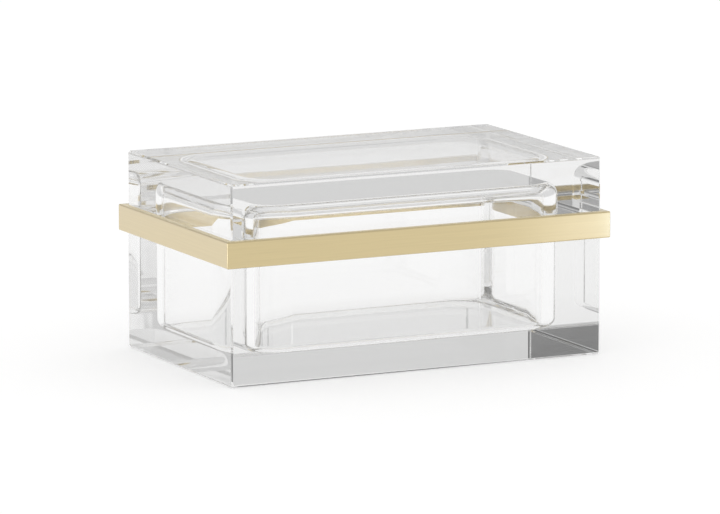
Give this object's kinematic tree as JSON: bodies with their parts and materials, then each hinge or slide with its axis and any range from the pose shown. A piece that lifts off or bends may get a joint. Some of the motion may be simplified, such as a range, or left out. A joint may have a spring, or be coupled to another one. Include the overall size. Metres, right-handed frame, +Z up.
{
  "type": "storage box",
  "caption": "Thick clear acrylic block box with a lift-off lid that seats inside a brushed brass band round the rim.",
  "frame": {"origin": "middle of the underside", "axes": "+X along the box's length, +Y towards the back, +Z up through the lid"},
  "size_m": [0.2108, 0.1298, 0.1],
  "materials": {
    "acrylic": "clear, flame-polished",
    "brass": "fine brushed, satin"
  },
  "bodies": {
    "base": {"body": "acrylic", "band_front": "brass", "band_right": "brass", "band_rear": "brass", "band_left": "brass"},
    "lid": {"lid": "acrylic"}
  },
  "joints": [
    {"name": "lid_lift", "type": "slide", "parent": "base", "child": "lid", "axis": [0, 0, 1], "range_m": [0, 0.1]}
  ]
}
